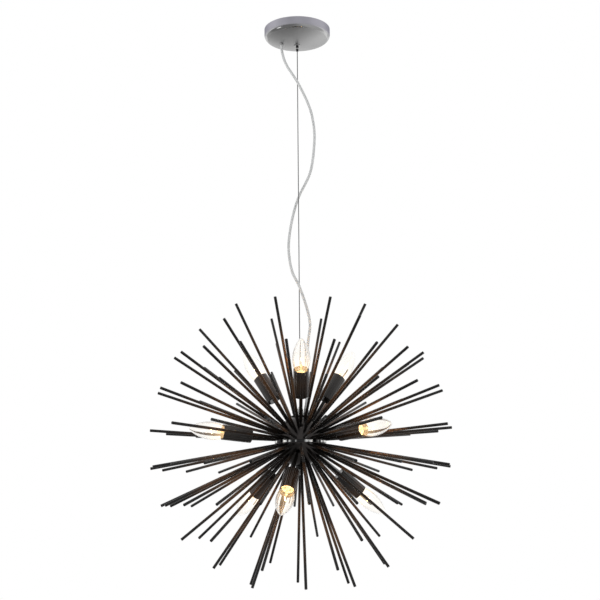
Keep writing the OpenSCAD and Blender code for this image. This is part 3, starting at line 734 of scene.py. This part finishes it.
class LAMP_OT_stage(bpy.types.Operator):
    """Pale floor, backdrop and soft studio lamps"""

    bl_idname = "lamp.stage"
    bl_label = "Stage"

    def execute(self, context):
        context.scene.view_settings.view_transform = "Standard"
        deselect()
        bpy.ops.mesh.primitive_plane_add(size=FLOOR_SIZE, location=(0, 0, FLOOR_HEIGHT))
        floor = context.object
        floor.name = floor.data.name = "pale_floor"
        finish = Finish("pale_floor")
        colour = finishes().backdrop
        cloud = finish.noise(3, 3)
        finish.colour(cloud, scaled(colour, 0.99), scaled(colour, 1.01))
        finish.rough(cloud, 0.6, 0.7)
        finish.bump(finish.noise(60, 3), 0.0005, 0.1)
        self.white_to_camera(finish)
        floor.data.materials.append(finish.material)
        self.world(context.scene)
        for lamp in STUDIO_LAMPS:
            self.lamp(*lamp)
        return {"FINISHED"}

    def white_to_camera(self, finish):
        """Camera and glass see the floor white, and it keeps the shadow. Metal mirrors it
        brighter behind and on the right."""
        path = finish.node("ShaderNodeLightPath").outputs
        clear = finish.calculate("MAXIMUM", path["Is Camera Ray"], path["Is Transmission Ray"])
        away = finish.node("ShaderNodeVectorMath", operation="LENGTH")
        finish.link(finish.coords, away.inputs[0])
        glow = finish.node("ShaderNodeEmission")
        finish.link(finish.fade(away.outputs["Value"], 0.55, 1.0, 1.0, 4.5),
                    glow.inputs["Strength"])
        white = finish.node("ShaderNodeAddShader")
        finish.link(finish.shader.outputs[0], white.inputs[0])
        finish.link(glow.outputs[0], white.inputs[1])
        mirrored = finish.node("ShaderNodeEmission")
        finish.link(finish.times(finish.fade(finish.axis("X"), 0.5, 1.15, -1.0, 1.6),
                                 finish.fade(finish.axis("Y"), 0.5, 1.0, 0.8, 3.0)),
                    mirrored.inputs["Strength"])
        shown = finish.mix_shader(
            path["Is Glossy Ray"], finish.shader.outputs[0], mirrored.outputs[0])
        shown = finish.mix_shader(clear, shown, white.outputs[0])
        finish.link(shown, finish.tree.nodes["Material Output"].inputs["Surface"])

    def world(self, scene):
        """Plain light for the object. Camera and glass see white, and metal sees a room that is
        lighter behind, with soft upright bands."""
        scene.world = bpy.data.worlds.new("studio")
        scene.world.use_nodes = True
        nodes = Nodes(scene.world.node_tree, "Generated")
        plain = nodes.tree.nodes["Background"]
        plain.inputs["Color"].default_value = (*finishes().room, 1)
        plain.inputs["Strength"].default_value = finishes().room_strength
        white = nodes.node("ShaderNodeBackground")
        white.inputs["Color"].default_value = (1, 1, 1, 1)
        white.inputs["Strength"].default_value = 1.0
        path = nodes.node("ShaderNodeLightPath").outputs
        depth = nodes.fade(nodes.axis("Y"), 0.5, 1.0, -0.75, 0.1)
        clouds = nodes.noise(4, 1, nodes.stretched((1, 1, 0.3)), rough=0.5)
        bands = nodes.fade(clouds, 0.7, 1.15, 0.42, 0.6)
        gloss = nodes.times(path["Is Glossy Ray"], nodes.times(depth, bands))
        clear = nodes.calculate("MAXIMUM", path["Is Camera Ray"], path["Is Transmission Ray"])
        shown = nodes.mix_shader(
            nodes.calculate("MAXIMUM", clear, gloss), plain.outputs[0], white.outputs[0])
        nodes.link(shown, nodes.tree.nodes["World Output"].inputs["Surface"])

    def lamp(self, name, at, width, height, power, mirrored):
        data = bpy.data.lights.new(name, "AREA")
        data.shape, data.size, data.size_y, data.energy = "RECTANGLE", width, height, power
        lamp = bpy.data.objects.new(name, data)
        bpy.context.collection.objects.link(lamp)
        lamp.location = at
        lamp.visible_glossy = mirrored
        lamp.rotation_euler = (LAMPS_AIM - lamp.location).to_track_quat("-Z", "Y").to_euler()


class LAMP_OT_ceiling_pieces(bpy.types.Operator):
    """Canopy and spring, and finishes of bracket, gripper, glands and terminal block"""

    bl_idname = "lamp.ceiling_pieces"
    bl_label = "Ceiling pieces"

    def execute(self, context):
        canopy = self.canopy()
        canopy.data.materials.append(
            canopy_chrome("canopy_chrome", finishes().chrome, finishes().satin))
        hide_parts("canopy_cup")
        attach(canopy, "ceiling")
        steel = metal("galvanised_steel", (0.62, 0.64, 0.66), (0.25, 0.45), grain=90)
        self.spring(steel)
        dress(["ceiling_bracket", "gripper_nuts"], steel)
        dress(["gripper_body"], metal("satin_chrome", finishes().satin, (0.26, 0.34), grain=120))
        dress(["wire_anchor"], metal("satin_nickel", (0.6, 0.6, 0.58), (0.2, 0.3), grain=120))
        dress(["terminal_block", "hub_connector"],
              plastic("white_nylon", (0.85, 0.85, 0.82), (0.35, 0.5)))
        dress(["canopy_cord_gland", "hub_cord_gland"],
              plastic("clear_grommet", (0.5, 0.5, 0.5), (0.25, 0.35), transmission=0.2))
        # The bright ring is at the middle of the plunger's length below the gripper's body
        plunger_low, body_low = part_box("gripper_plunger")[0][2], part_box("gripper_body")[0][2]
        dress(["gripper_plunger"],
              ringed_steel("ringed_plunger", (plunger_low + body_low) / 2, half=0.0011))
        return {"FINISHED"}

    def canopy(self):
        """Cup with a rounded shoulder and a domed underside, open where the gripper goes through.
        Its floor inside stays level, for bracket and nuts."""
        side, shoulder = sizes().canopy_side, sizes().canopy_shoulder
        depth = sizes().canopy_depth
        wall, floor, clearance = 0.0012, 0.0208, 0.0002
        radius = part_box("canopy_cup")[1][0]
        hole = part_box("gripper_body")[1][0] + clearance
        centre, rise = radius - shoulder, depth - side
        dome = (centre ** 2 + rise ** 2 - shoulder ** 2) / (2 * (rise - shoulder))
        top = dome - depth
        slope = math.atan2(centre, top + side)
        points = [(radius, 0)]
        points += arc(centre, -side, shoulder, math.pi / 2, slope, 12)
        points += arc(0, top, dome, slope, math.asin(hole / dome), 16, first=1)
        points += [(hole, -floor)]
        points += arc(centre, -side, shoulder - wall, 0, math.pi / 2, 8)
        points += [(radius - wall, 0)]
        return smooth(close(turned(line("canopy_domed", points, True), 96, merge=True)))

    def spring(self, steel):
        """Coil over the plunger, in even turns from its foot to its top."""
        low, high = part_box("plunger_spring")
        wire, coils, travel = 0.00025, 3, 0.003
        around, foot = high[0] - wire, low[2] + wire
        section = [(around + wire * math.cos(k * math.pi / 4),
                    foot + wire * math.sin(k * math.pi / 4)) for k in range(8)]
        rise = (high[2] - low[2] - 2 * wire) / coils
        piece = turned(line("plunger_coil", section, True), 24, rise=rise, rounds=coils)
        smooth(close(piece, merge=True), 50).data.materials.append(steel)
        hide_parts("plunger_spring")
        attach(piece, "ceiling")
        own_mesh(piece)


class LAMP_OT_suspension_wire(bpy.types.Operator):
    """Twisted strands of the suspension wire"""

    bl_idname = "lamp.suspension_wire"
    bl_label = "Suspension wire"

    def execute(self, context):
        steel = metal("wire_steel", (0.24, 0.24, 0.24), (0.3, 0.45), grain=300)
        for name, node, body in (("suspension_strands", "suspension_wire", "pendant"),
                                 ("wire_tail_strands", "wire_tail", "ceiling")):
            low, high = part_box(node)
            piece = self.strands(name, low[2], high[2] - low[2])
            piece.data.materials.append(steel)
            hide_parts(node)
            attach(piece, body)
        return {"FINISHED"}

    def strands(self, name, bottom, length):
        """Seven rings are turned up along the wire, so that six strands lie round one."""
        radius = sizes().wire_diameter / 2
        strand = radius / 3
        out = radius - strand
        steps_per_turn = 10
        rings = []
        for k in range(7):
            turn = TURN * k / 6
            at = (0, 0, bottom) if k == 6 else (out * math.cos(turn), out * math.sin(turn), bottom)
            deselect()
            bpy.ops.mesh.primitive_circle_add(
                vertices=6, radius=strand, fill_type="NOTHING", location=at)
            bpy.ops.object.transform_apply(location=True, rotation=True, scale=True)
            rings.append(bpy.context.object)
        steps = max(4, round(length / sizes().wire_lay * steps_per_turn))
        piece = turned(join(rings, name), steps, TURN * steps / steps_per_turn, length)
        return smooth(close(piece), 50)


class LAMP_OT_hub(bpy.types.Operator):
    """Finishes of the hub, and the thread on the stub of its middle tube"""

    bl_idname = "lamp.hub"
    bl_label = "Hub"

    def execute(self, context):
        dress(["hub_upper_shell", "hub_lower_shell"],
              metal("black_nickel", (0.05, 0.046, 0.044), (0.12, 0.24), grain=50))
        # The dark colour is the painted reflection of the rods
        dress(["hub_belt"], belt_chrome("belt_chrome", (0.82, 0.82, 0.8), (0.03, 0.03, 0.03)))
        dress(["hub_lid", "bottom_nut"],
              enamel("lid_enamel", finishes().enamel, finishes().enamel, (0.2, 0.3), gloss=0.5))
        steel = metal("tube_steel", (0.55, 0.55, 0.54), (0.2, 0.35), grain=200, depth=0.00002)
        dress(["centre_tube"], steel)
        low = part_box("centre_tube")[0][2]
        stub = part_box("bottom_nut")[0][2] - low
        plain_end = 0.0006
        ridge = smooth(thread("stub_thread", bottom=low + plain_end, length=stub - plain_end,
                              radius=0.005, pitch=0.001, depth=0.00022), 60)
        ridge.data.materials.append(steel)
        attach(ridge, "pendant")
        return {"FINISHED"}


class LAMP_OT_rods(bpy.types.Operator):
    """Black enamel of the rods, covers and arms, and the lamp holders"""

    bl_idname = "lamp.rods"
    bl_label = "Rods and covers"

    def execute(self, context):
        # The enamel carries painted warm light from the bulbs, half as strong on the covers
        colour, painted_warm_light = finishes().enamel, finishes().painted_bulb_light
        dress(nodes_of("rods_row_") + ["arm_tubes"],
              enamel("rod_enamel", colour, painted_warm_light, (0.16, 0.24), gloss=0.4))
        dress(nodes_of("covers_"),
              enamel("cover_enamel", colour, scaled(painted_warm_light, 0.5), (0.1, 0.16), gloss=1.0))
        dress(nodes_of("holders_"),
              lit_plastic("holder_plastic", (0.03, 0.03, 0.03), (0.8, 0.7, 0.5),
                          finishes().glow, HOLDER_FACE))
        return {"FINISHED"}


class LAMP_OT_candle_bulbs(bpy.types.Operator):
    """Clear candles with their stems, filaments and screw caps"""

    bl_idname = "lamp.candle_bulbs"
    bl_label = "Candle bulbs"

    def execute(self, context):
        glow = finishes().glow
        brass = metal("cap_brass", (0.66, 0.6, 0.42), (0.2, 0.35), grain=80)
        wire = metal("lead_wires", (0.5, 0.47, 0.42), (0.3, 0.4), grain=200)
        lit = lit_filament("lit_filament", finishes().filament, finishes().filament_strength)
        parts = (
            (self.candle(), "glass_candle", "bulb_glass", clear_glass("candle_glass", glow)),
            (self.stem(), "glass_stem", "bulb_glass", stem_glass("stem_glass", glow)),
            (self.mount(), "filament_mount", "cap_brass", wire),
            (self.coil(), "filament", "cap_brass", lit),
            (thread("cap_thread", bottom=0.1312, length=0.0152, radius=0.0069, pitch=0.0028,
                    depth=0.00028), "cap_thread", "cap_brass", brass),
        )
        for part, kind, slot, material in parts:
            smooth(part, 60).data.materials.append(material)
            for index in range(LIGHTS):
                body = "bulb_%d" % (index + 1)
                piece = place(copy_of(part, "%s_%s" % (body, kind)), light_matrix(index))
                if kind == "glass_candle":
                    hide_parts(body + "_glass")
                    piece.visible_shadow = False
                if kind == "filament":
                    piece.visible_shadow = False
                    piece.visible_diffuse = piece.visible_glossy = False
                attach(piece, body)
            bpy.data.objects.remove(part)
        dress(["bulb_%d_cap" % (index + 1) for index in range(LIGHTS)], brass)
        for index in range(LIGHTS):
            self.warm_light(index)
        return {"FINISHED"}

    def warm_light(self, index):
        """What the filament casts on rods and covers. Glass and filament don't shade it."""
        name = "bulb_%d_light" % (index + 1)
        data = bpy.data.lights.new(name, "POINT")
        data.energy, data.shadow_soft_size = finishes().bulb_power, 0.004
        data.color = finishes().filament
        lamp = bpy.data.objects.new(name, data)
        bpy.context.collection.objects.link(lamp)
        lamp.location = light_matrix(index) @ Vector((0, 0, BULB_LAMP))
        lamp.visible_transmission = lamp.visible_glossy = lamp.visible_camera = False

    def outline(self):
        """Outer radii of the candle from its cap to its tip, by distance from the hub centre."""
        cap_top, neck_top, belly, tip = 0.147, 0.151, 0.182, 0.226
        neck, radius, round_tip = 0.0068, sizes().belly_diameter / 2, 0.006
        drop, height = belly - neck_top, tip - belly
        lower = ((radius - neck) ** 2 + drop ** 2) / (2 * (radius - neck))
        upper = (radius ** 2 - round_tip ** 2 + (height - round_tip) ** 2) / (
            2 * (radius - round_tip))
        joint = upper * (height - round_tip) / (upper - round_tip)
        points = [(cap_top, neck), (neck_top, neck)]
        for k in range(1, 13):
            below = drop * (1 - k / 12)
            points.append((belly - below, math.sqrt(lower ** 2 - below ** 2) - (lower - radius)))
        for k in range(1, 15):
            up = joint * k / 14
            points.append((belly + up, math.sqrt(upper ** 2 - up ** 2) - (upper - radius)))
        start = math.asin(min(1, (joint - (height - round_tip)) / round_tip))
        for k in range(1, 6):
            turn = start + (math.pi / 2 - start) * k / 6
            points.append((tip - round_tip + round_tip * math.sin(turn),
                           round_tip * math.cos(turn)))
        points.append((tip - 0.00002, 0.0004))
        return points

    def candle(self):
        """Thin shell: the outline is turned, and the closed form is given its wall inwards."""
        piece = lathe("glass_candle", self.outline(), 48)
        wall = piece.modifiers.new("wall", "SOLIDIFY")
        wall.thickness = sizes().glass_wall
        wall.offset = -1
        wall.use_even_offset = True
        return apply_modifiers(piece)

    def stem(self):
        """Flared glass foot that is sealed into the neck, with its slim stem and its top."""
        return lathe("glass_stem", [
            (0.1484, 0.0056), (0.1496, 0.0055), (0.1512, 0.0046), (0.1528, 0.0034),
            (0.1548, 0.0026), (0.158, 0.0022), (0.166, 0.0021), (0.1682, 0.0026),
            (0.1694, 0.0024), (0.17, 0.0012)], 24)

    def mount(self):
        """Two lead wires from the stem to the ends of the filament, and a support between."""
        lead, support, foot, knee = 0.0003, 0.0002, 0.0012, 0.172
        end = sizes().filament_span / 2
        parts = []
        for side in (-1, 1):
            wire = lathe("lead", [(LEAD_FOOT, lead), (knee, lead), (LEAD_TOP, lead)], 8)
            self.lean(wire, side * foot, side * end)
            parts.append(wire)
        parts.append(lathe("support", [(0.169, support), (0.1836, support)], 8))
        return join(parts, "filament_mount")

    def lean(self, wire, start, end):
        """Moves the rings of a wire sideways, so that it spreads above the stem."""
        for vertex in wire.data.vertices:
            share = (vertex.co.z - LEAD_FOOT) / (LEAD_TOP - LEAD_FOOT)
            vertex.co.x += start + (end - start) * share

    def coil(self):
        """The lit coil between the lead wires, slightly arched."""
        span, coils = sizes().filament_span, sizes().filament_turns
        per_turn, radius, wire, sides, arch = 10, 0.0007, 0.0002, 5, 0.003
        along = Vector((1, 0, 0))
        angles = [TURN * k / sides for k in range(sides)]
        rings = []
        for i in range(coils * per_turn + 1):
            share = i / (coils * per_turn)
            turn = TURN * i / per_turn
            out = Vector((0, math.cos(turn), math.sin(turn)))
            height = LEAD_TOP + radius * math.sin(turn) + arch * math.sin(math.pi * share)
            point = Vector(((share - 0.5) * span, radius * math.cos(turn), height))
            rings.append([point + wire * (math.cos(angle) * out + math.sin(angle) * along)
                          for angle in angles])
        return close(skin("filament", rings))


OPERATORS = (
    LAMP_OT_camera,
    LAMP_OT_power_cord,
    LAMP_OT_stage,
    LAMP_OT_ceiling_pieces,
    LAMP_OT_suspension_wire,
    LAMP_OT_hub,
    LAMP_OT_rods,
    LAMP_OT_candle_bulbs,
)


class LAMP_PT_panel(bpy.types.Panel):
    """Sidebar panel with the steps that make the light"""

    bl_idname = "LAMP_PT_panel"
    bl_label = "Cluster light"
    bl_space_type = "VIEW_3D"
    bl_region_type = "UI"
    bl_category = "Cluster light"

    def draw(self, context):
        layout = self.layout
        for group in (context.scene.lamp_sizes, context.scene.lamp_finishes):
            box = layout.box()
            for key in group.__annotations__:
                box.prop(group, key)
        for operator in OPERATORS:
            layout.operator(operator.bl_idname)


CLASSES = (LampSizes, LampFinishes) + OPERATORS + (LAMP_PT_panel,)


def register():
    for cls in CLASSES:
        bpy.utils.register_class(cls)
    bpy.types.Scene.lamp_sizes = PointerProperty(type=LampSizes)
    bpy.types.Scene.lamp_finishes = PointerProperty(type=LampFinishes)


def unregister():
    del bpy.types.Scene.lamp_finishes
    del bpy.types.Scene.lamp_sizes
    for cls in reversed(CLASSES):
        bpy.utils.unregister_class(cls)


def main():
    register()
    bpy.ops.lamp.camera()
    bpy.ops.lamp.power_cord()
    bpy.ops.lamp.stage()
    bpy.ops.lamp.ceiling_pieces()
    bpy.ops.lamp.suspension_wire()
    bpy.ops.lamp.hub()
    bpy.ops.lamp.rods()
    bpy.ops.lamp.candle_bulbs()


if __name__ == "__main__":
    main()
